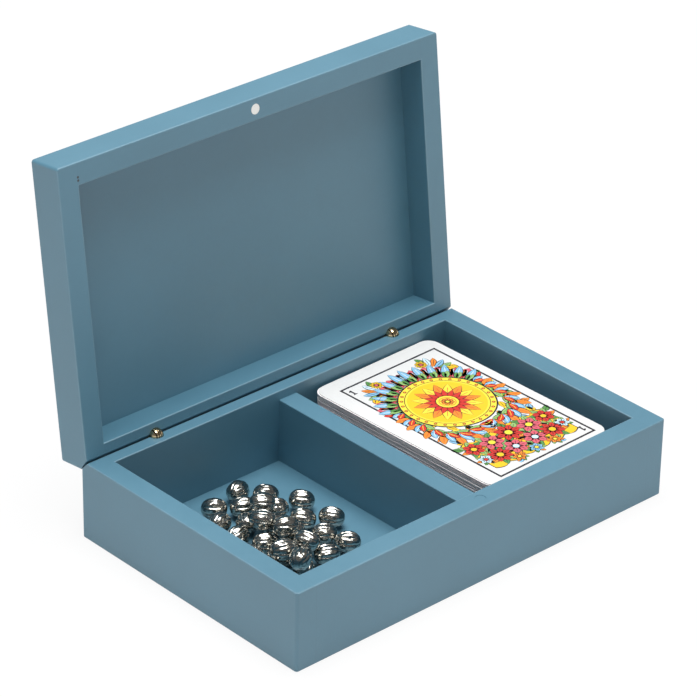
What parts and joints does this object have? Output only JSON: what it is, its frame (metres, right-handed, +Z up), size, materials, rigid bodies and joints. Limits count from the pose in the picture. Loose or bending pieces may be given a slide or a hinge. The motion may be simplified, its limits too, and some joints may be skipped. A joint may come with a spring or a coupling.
{
  "type": "hinged playing card box",
  "caption": "Lacquered wooden box with a hinged lid, a left bay with a heap of metal counters and a right bay with two decks of cards",
  "frame": {"origin": "middle of the underside, where the box stands", "axes": "+X along the hinge line, +Y from the front to the hinges, +Z up"},
  "size_m": [0.182, 0.1418, 0.1451],
  "materials": {
    "lacquer": "satin lacquer",
    "brass": "polished",
    "magnet": "bright",
    "counter_metal": "polished",
    "card_stock": "smooth",
    "printed_card": "linen satin"
  },
  "bodies": {
    "base": {"base_floor": "lacquer", "base_front_wall": "lacquer", "base_left_wall": "lacquer", "base_magnet": "lacquer", "base_rear_wall": "lacquer", "base_right_wall": "lacquer", "divider": "lacquer", "hinge_left_base_barrel": "brass", "hinge_left_pin": "brass", "hinge_right_base_barrel": "brass", "hinge_right_pin": "brass"},
    "lid": {"hinge_left_lid_barrel": "brass", "hinge_right_lid_barrel": "brass", "lid_front_rail": "lacquer", "lid_left_rail": "lacquer", "lid_magnet": "magnet", "lid_panel": "lacquer", "lid_rear_rail": "lacquer", "lid_right_rail": "lacquer"},
    "deck_lower": {"deck_lower": "card_stock"},
    "deck_upper": {"deck_upper": "card_stock", "top_card": "printed_card"},
    "counters": {"counter_01": "counter_metal", "counter_02": "counter_metal", "counter_03": "counter_metal", "counter_04": "counter_metal", "counter_05": "counter_metal", "counter_06": "counter_metal", "counter_07": "counter_metal", "counter_08": "counter_metal", "counter_09": "counter_metal", "counter_10": "counter_metal", "counter_11": "counter_metal", "counter_12": "counter_metal", "counter_13": "counter_metal", "counter_14": "counter_metal", "counter_15": "counter_metal", "counter_16": "counter_metal", "counter_17": "counter_metal", "counter_18": "counter_metal", "counter_19": "counter_metal", "counter_20": "counter_metal", "counter_21": "counter_metal", "counter_22": "counter_metal", "counter_23": "counter_metal", "counter_24": "counter_metal", "counter_25": "counter_metal", "counter_26": "counter_metal", "counter_27": "counter_metal", "counter_28": "counter_metal", "counter_29": "counter_metal", "counter_30": "counter_metal"}
  },
  "joints": [
    {"name": "lid_hinge", "type": "hinge", "parent": "base", "child": "lid", "pos_m": [0, 0.05515, 0.032], "axis": [1, 0, 0], "range_deg": [0, 96.5]},
    {"name": "deck_lower_lift", "type": "slide", "parent": "base", "child": "deck_lower", "axis": [0, 0, 1], "range_m": [0, 0.008]},
    {"name": "deck_upper_lift", "type": "slide", "parent": "deck_lower", "child": "deck_upper", "axis": [0, 0, 1], "range_m": [0, 0.008]},
    {"name": "counters_lift", "type": "slide", "parent": "base", "child": "counters", "axis": [0, 0, 1], "range_m": [0, 0.024]}
  ]
}
